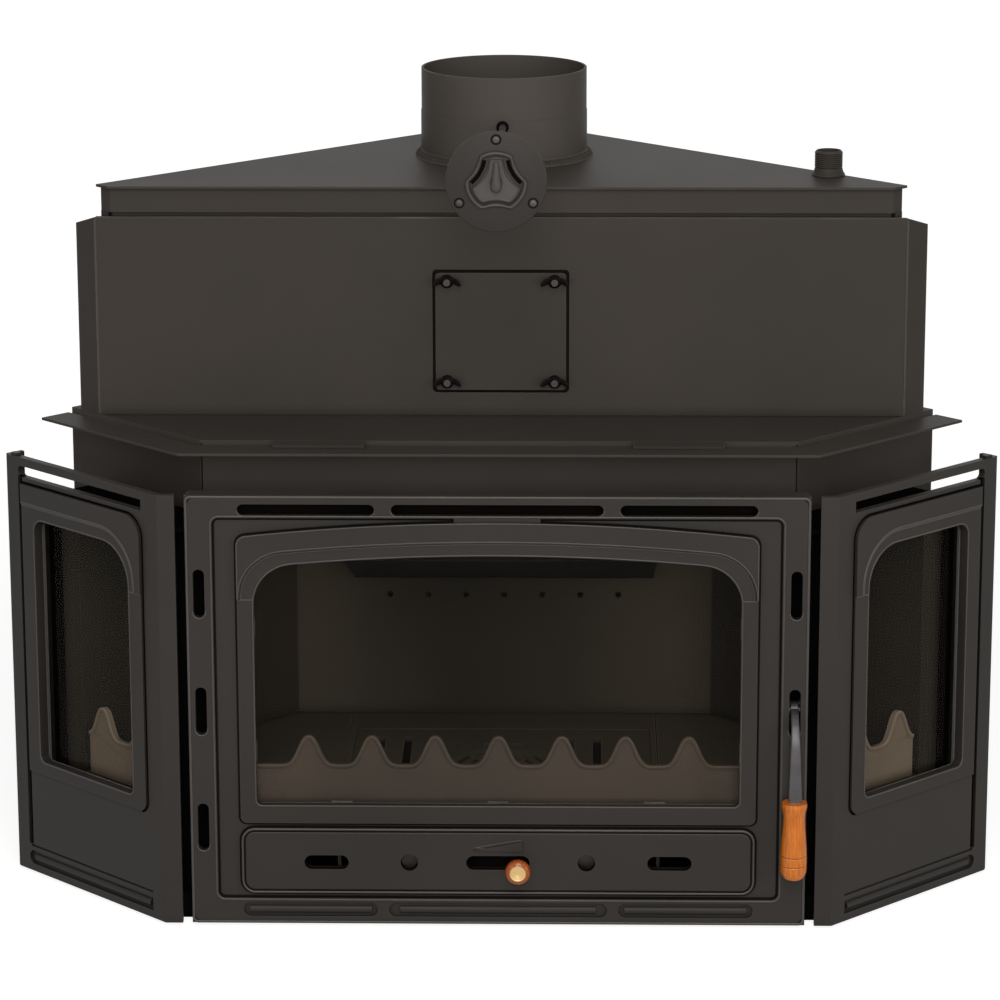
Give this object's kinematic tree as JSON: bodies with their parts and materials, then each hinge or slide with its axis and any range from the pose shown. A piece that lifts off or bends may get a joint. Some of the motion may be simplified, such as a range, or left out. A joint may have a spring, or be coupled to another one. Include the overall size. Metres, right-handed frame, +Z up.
{
  "type": "boiler fireplace insert",
  "caption": "Three-sided fireplace insert with a cast glazed door and glazed side castings; a boiler body with flue collar and pipe nipple stands on the firebox",
  "frame": {"origin": "on the floor under the base plate, on the axis of the flue collar", "axes": "+X to the right seen from the front, +Y back into the corner, +Z up"},
  "size_m": [1.1632, 0.7002, 0.935],
  "materials": {
    "steel_paint": "matt heat-resistant paint",
    "cast_paint": "matt painted casting",
    "steel_bare": "blackened steel",
    "ceramic_glass": "clear ceramic glass",
    "glass_fibre": "dark glass fibre",
    "lacquered_wood": "turned, amber lacquer",
    "brass": "polished brass"
  },
  "bodies": {
    "insert": {"base_plate": "steel_paint", "casing_header": "steel_paint", "casing_sill": "steel_paint", "casing_back_panels": "steel_paint", "casing_rear": "steel_paint", "casing_cover": "steel_paint", "throat_top": "steel_paint", "throat_floor": "steel_paint", "throat_ends": "steel_paint", "corner_posts": "steel_paint", "firebox_side_walls": "steel_paint", "firebox_rear_wall": "steel_paint", "ash_box": "steel_paint", "side_linings": "cast_paint", "rear_lining": "cast_paint", "hearth_plates": "cast_paint", "grate_plate": "cast_paint", "round_grate": "cast_paint", "baffle": "cast_paint", "front_log_guard": "cast_paint", "side_log_guards": "cast_paint", "ash_pan": "steel_bare", "boiler_front": "steel_paint", "boiler_flanks": "steel_paint", "boiler_back_panels": "steel_paint", "boiler_rear": "steel_paint", "chamber_walls": "steel_paint", "exchanger_tubes": "steel_paint", "top_box": "steel_paint", "top_plate": "steel_paint", "flue_collar": "steel_paint", "supply_nipple": "steel_paint", "return_nipple": "steel_paint", "hatch_cover": "steel_bare", "hatch_gasket": "glass_fibre", "hatch_studs": "steel_bare", "hatch_wing_nuts": "steel_bare", "rosette_plate": "cast_paint", "trim_flange": "steel_paint", "flange_tabs": "steel_paint", "side_casting_left": "cast_paint", "side_casting_right": "cast_paint", "side_glasses": "ceramic_glass", "side_glass_seals": "glass_fibre", "hinge_brackets": "steel_paint", "hinge_pins": "steel_bare", "latch_keeper": "steel_bare"},
    "door": {"door_casting": "cast_paint", "door_glass": "ceramic_glass", "door_glass_seal": "glass_fibre", "glass_clips": "steel_bare", "door_rope_seal": "glass_fibre", "latch_pin": "steel_bare"},
    "latch": {"latch_lever": "steel_bare", "handle_grip": "lacquered_wood"},
    "air_control": {"air_slide": "steel_bare", "air_knob": "brass"},
    "damper": {"damper_rod": "steel_bare", "damper_disc": "cast_paint", "damper_lever": "cast_paint"}
  },
  "joints": [
    {"name": "door_hinge", "type": "hinge", "parent": "insert", "child": "door", "pos_m": [-0.346, -0.437, 0.004], "axis": [0, 0, -1], "range_deg": [0, 90]},
    {"name": "latch_turn", "type": "hinge", "parent": "door", "child": "latch", "pos_m": [0.339, -0.437, 0.26], "axis": [-1, 0, 0], "range_deg": [0, 40]},
    {"name": "air_slide_move", "type": "slide", "parent": "door", "child": "air_control", "axis": [1, 0, 0], "range_m": [-0.05, 0.004]},
    {"name": "damper_turn", "type": "hinge", "parent": "insert", "child": "damper", "pos_m": [0, 0, 0.877], "axis": [0, 1, 0], "range_deg": [0, 90]}
  ]
}
